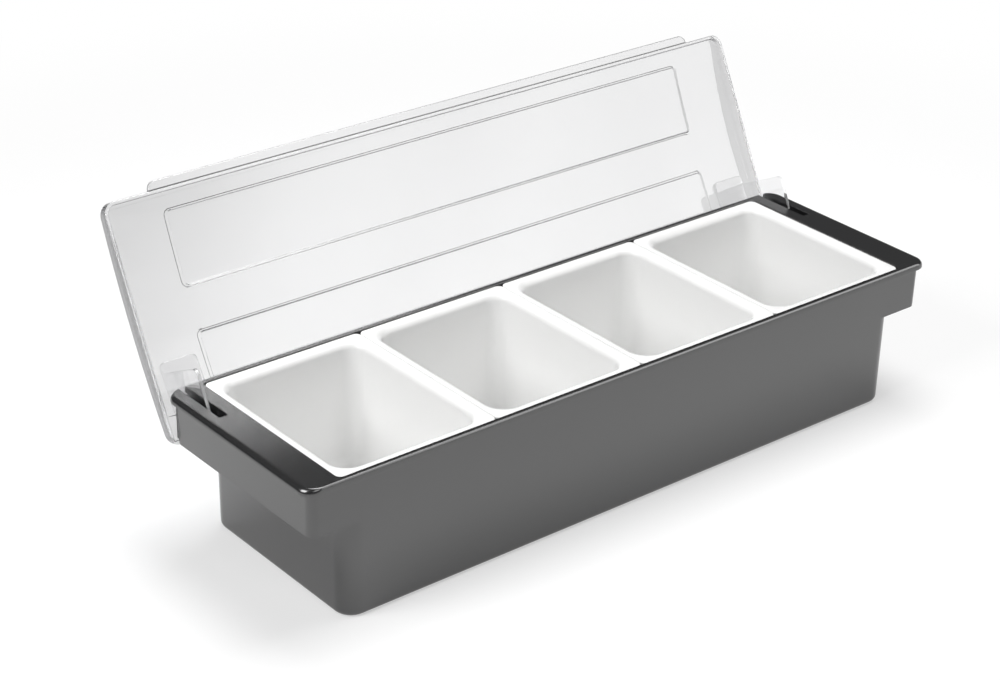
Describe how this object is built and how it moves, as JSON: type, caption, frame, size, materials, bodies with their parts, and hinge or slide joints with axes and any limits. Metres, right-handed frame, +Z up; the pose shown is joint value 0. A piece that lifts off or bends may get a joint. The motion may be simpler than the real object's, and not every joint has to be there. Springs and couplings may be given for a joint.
{
  "type": "condiment caddy",
  "caption": "Long countertop condiment tray with lift-out inserts and one clear arched lid that swings back on two clip hinges set in open-backed slots of the deck.",
  "frame": {"origin": "middle of the tray's flat underside", "axes": "+X along the long side, +Y towards the hinge side at the back, +Z up"},
  "size_m": [0.495, 0.2117, 0.1981],
  "materials": {
    "tray": "satin, dark grey ABS",
    "insert": "smooth, white polypropylene",
    "clear_lid": "clear, polished polycarbonate",
    "clear_hinge": "clear, polished polycarbonate"
  },
  "bodies": {
    "tray": {"base": "tray"},
    "lid_assembly": {"lid": "clear_lid", "hinge_left": "clear_hinge", "hinge_right": "clear_hinge"},
    "insert_1": {"insert_1": "insert"},
    "insert_2": {"insert_2": "insert"},
    "insert_3": {"insert_3": "insert"},
    "insert_4": {"insert_4": "insert"}
  },
  "joints": [
    {"name": "lid_hinge", "type": "hinge", "parent": "tray", "child": "lid_assembly", "pos_m": [0, 0.0608, 0.082], "axis": [-1, 0, 0], "range_deg": [-117, 0]},
    {"name": "insert_1_lift", "type": "slide", "parent": "tray", "child": "insert_1", "axis": [0, 0, 1], "range_m": [0, 0.1]},
    {"name": "insert_2_lift", "type": "slide", "parent": "tray", "child": "insert_2", "axis": [0, 0, 1], "range_m": [0, 0.1]},
    {"name": "insert_3_lift", "type": "slide", "parent": "tray", "child": "insert_3", "axis": [0, 0, 1], "range_m": [0, 0.1]},
    {"name": "insert_4_lift", "type": "slide", "parent": "tray", "child": "insert_4", "axis": [0, 0, 1], "range_m": [0, 0.1]}
  ]
}
